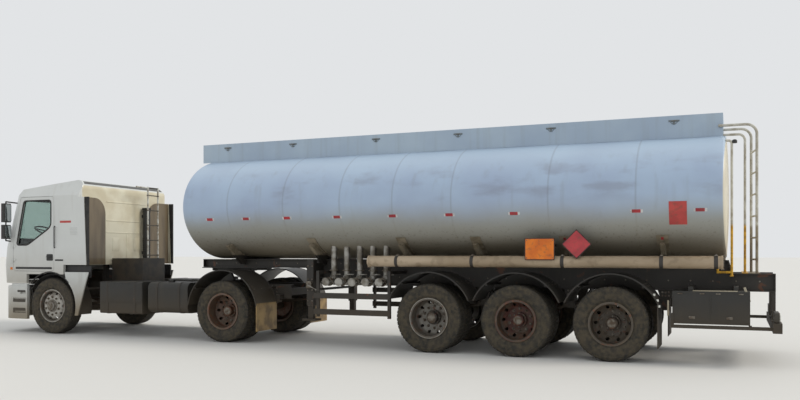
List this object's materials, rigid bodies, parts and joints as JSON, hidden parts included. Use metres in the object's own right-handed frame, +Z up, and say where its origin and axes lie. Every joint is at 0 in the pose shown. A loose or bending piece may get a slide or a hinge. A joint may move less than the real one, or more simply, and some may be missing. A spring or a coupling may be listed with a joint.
{
  "type": "articulated tanker truck",
  "caption": "Tractor with tilting cab, hinged to a long oval tank trailer on twin wheels, with a walkway trough, side hose tubes and a rear ladder.",
  "frame": {"origin": "on the ground under the middle of the whole vehicle", "axes": "+X towards the rear, +Y to the vehicle's right, +Z up"},
  "size_m": [13.78, 2.85, 3.4899],
  "materials": {
    "cab_paint": "worn off-white gloss",
    "tank_paint": "dusty white",
    "pale_paint": "dusty cream",
    "chassis_paint": "dusty dark grey",
    "axle_iron": "oily and dusty",
    "rim_paint": "worn grey",
    "tyre": "dusty rubber",
    "black_plastic": "matt",
    "tank_black": "satin dusty black",
    "rubber": "matt",
    "glass": "clear, slightly green",
    "lamp_glass": "clear",
    "seat_cloth": "woven",
    "bare_steel": "weathered"
  },
  "bodies": {
    "tractor": {"tractor_frame": "chassis_paint", "engine": "axle_iron", "tractor_suspension": "axle_iron", "bumper": "cab_paint", "headlamps": "lamp_glass", "tractor_mudguards": "black_plastic", "side_tanks": "tank_black", "cab_back_rack": "bare_steel", "fifth_wheel": "chassis_paint"},
    "cab": {"cab_shell": "cab_paint", "fairing_lips": "rubber", "front_panel": "cab_paint", "windscreen": "glass", "seats": "seat_cloth", "dashboard": "black_plastic", "mirrors": "black_plastic", "intake_duct": "black_plastic"},
    "left_door": {"left_door": "cab_paint", "left_door_glass": "glass"},
    "right_door": {"right_door": "cab_paint", "right_door_glass": "glass"},
    "left_knuckle": {"left_knuckle": "axle_iron"},
    "right_knuckle": {"right_knuckle": "axle_iron"},
    "trailer": {"tank": "tank_paint", "trough": "tank_paint", "trailer_frame": "chassis_paint", "trailer_suspension": "axle_iron", "trailer_mudguards": "black_plastic", "landing_gear": "chassis_paint", "side_guards": "chassis_paint", "hose_tubes": "pale_paint", "rear_ladder": "bare_steel", "tool_boxes": "tank_black", "rear_bumper": "chassis_paint", "discharge_valves": "bare_steel"},
    "front_left_wheel": {"front_left_tyre": "tyre", "front_left_rim": "rim_paint"},
    "front_right_wheel": {"front_right_tyre": "tyre", "front_right_rim": "rim_paint"},
    "drive_left_wheels": {"drive_left_tyres": "tyre", "drive_left_rims": "rim_paint"},
    "drive_right_wheels": {"drive_right_tyres": "tyre", "drive_right_rims": "rim_paint"},
    "trailer_axle1_left_wheels": {"trailer_axle1_left_tyres": "tyre", "trailer_axle1_left_rims": "rim_paint"},
    "trailer_axle1_right_wheels": {"trailer_axle1_right_tyres": "tyre", "trailer_axle1_right_rims": "rim_paint"},
    "trailer_axle2_left_wheels": {"trailer_axle2_left_tyres": "tyre", "trailer_axle2_left_rims": "rim_paint"},
    "trailer_axle2_right_wheels": {"trailer_axle2_right_tyres": "tyre", "trailer_axle2_right_rims": "rim_paint"},
    "trailer_axle3_left_wheels": {"trailer_axle3_left_tyres": "tyre", "trailer_axle3_left_rims": "rim_paint"},
    "trailer_axle3_right_wheels": {"trailer_axle3_right_tyres": "tyre", "trailer_axle3_right_rims": "rim_paint"},
    "manhole_lid_1": {"manhole_lid_1": "tank_paint"},
    "manhole_lid_2": {"manhole_lid_2": "tank_paint"},
    "manhole_lid_3": {"manhole_lid_3": "tank_paint"},
    "manhole_lid_4": {"manhole_lid_4": "tank_paint"},
    "manhole_lid_5": {"manhole_lid_5": "tank_paint"}
  },
  "joints": [
    {"name": "cab_tilt", "type": "hinge", "parent": "tractor", "child": "cab", "pos_m": [-6.83, 0, 0.93], "axis": [0, -1, 0], "range_deg": [0, 60]},
    {"name": "left_door_swing", "type": "hinge", "parent": "cab", "child": "left_door", "pos_m": [-6.523, -1.2325, 1.6], "axis": [0, 0, -1], "range_deg": [0, 70]},
    {"name": "right_door_swing", "type": "hinge", "parent": "cab", "child": "right_door", "pos_m": [-6.523, 1.2325, 1.6], "axis": [0, 0, 1], "range_deg": [0, 70]},
    {"name": "left_steer", "type": "hinge", "parent": "tractor", "child": "left_knuckle", "pos_m": [-5.56, -0.93, 0.525], "axis": [0, 0, 1], "range_deg": [-35, 35]},
    {"name": "right_steer", "type": "hinge", "parent": "tractor", "child": "right_knuckle", "pos_m": [-5.56, 0.93, 0.525], "axis": [0, 0, 1], "range_deg": [-35, 35]},
    {"name": "front_left_roll", "type": "hinge", "parent": "left_knuckle", "child": "front_left_wheel", "pos_m": [-5.56, -1.075, 0.525], "axis": [0, 1, 0], "continuous": true},
    {"name": "front_right_roll", "type": "hinge", "parent": "right_knuckle", "child": "front_right_wheel", "pos_m": [-5.56, 1.075, 0.525], "axis": [0, 1, 0], "continuous": true},
    {"name": "drive_left_roll", "type": "hinge", "parent": "tractor", "child": "drive_left_wheels", "pos_m": [-1.71, -0.925, 0.525], "axis": [0, 1, 0], "continuous": true},
    {"name": "drive_right_roll", "type": "hinge", "parent": "tractor", "child": "drive_right_wheels", "pos_m": [-1.71, 0.925, 0.525], "axis": [0, 1, 0], "continuous": true},
    {"name": "trailer_axle1_left_roll", "type": "hinge", "parent": "trailer", "child": "trailer_axle1_left_wheels", "pos_m": [2.03, -0.925, 0.525], "axis": [0, 1, 0], "continuous": true},
    {"name": "trailer_axle1_right_roll", "type": "hinge", "parent": "trailer", "child": "trailer_axle1_right_wheels", "pos_m": [2.03, 0.925, 0.525], "axis": [0, 1, 0], "continuous": true},
    {"name": "trailer_axle2_left_roll", "type": "hinge", "parent": "trailer", "child": "trailer_axle2_left_wheels", "pos_m": [3.38, -0.925, 0.525], "axis": [0, 1, 0], "continuous": true},
    {"name": "trailer_axle2_right_roll", "type": "hinge", "parent": "trailer", "child": "trailer_axle2_right_wheels", "pos_m": [3.38, 0.925, 0.525], "axis": [0, 1, 0], "continuous": true},
    {"name": "trailer_axle3_left_roll", "type": "hinge", "parent": "trailer", "child": "trailer_axle3_left_wheels", "pos_m": [4.73, -0.925, 0.525], "axis": [0, 1, 0], "continuous": true},
    {"name": "trailer_axle3_right_roll", "type": "hinge", "parent": "trailer", "child": "trailer_axle3_right_wheels", "pos_m": [4.73, 0.925, 0.525], "axis": [0, 1, 0], "continuous": true},
    {"name": "trailer_turn", "type": "hinge", "parent": "tractor", "child": "trailer", "pos_m": [-2.21, 0, 1.25], "axis": [0, 0, 1], "range_deg": [-90, 90]},
    {"name": "manhole_lid_1_open", "type": "hinge", "parent": "trailer", "child": "manhole_lid_1", "pos_m": [-1.497, 0, 3.395], "axis": [0, 1, 0], "range_deg": [0, 110]},
    {"name": "manhole_lid_2_open", "type": "hinge", "parent": "trailer", "child": "manhole_lid_2", "pos_m": [0.269, 0, 3.395], "axis": [0, 1, 0], "range_deg": [0, 110]},
    {"name": "manhole_lid_3_open", "type": "hinge", "parent": "trailer", "child": "manhole_lid_3", "pos_m": [2.035, 0, 3.395], "axis": [0, 1, 0], "range_deg": [0, 110]},
    {"name": "manhole_lid_4_open", "type": "hinge", "parent": "trailer", "child": "manhole_lid_4", "pos_m": [3.801, 0, 3.395], "axis": [0, 1, 0], "range_deg": [0, 110]},
    {"name": "manhole_lid_5_open", "type": "hinge", "parent": "trailer", "child": "manhole_lid_5", "pos_m": [5.567, 0, 3.395], "axis": [0, 1, 0], "range_deg": [0, 110]}
  ],
  "couplings": [
    {"joint": "right_steer", "follows": "left_steer", "ratio": 1}
  ]
}
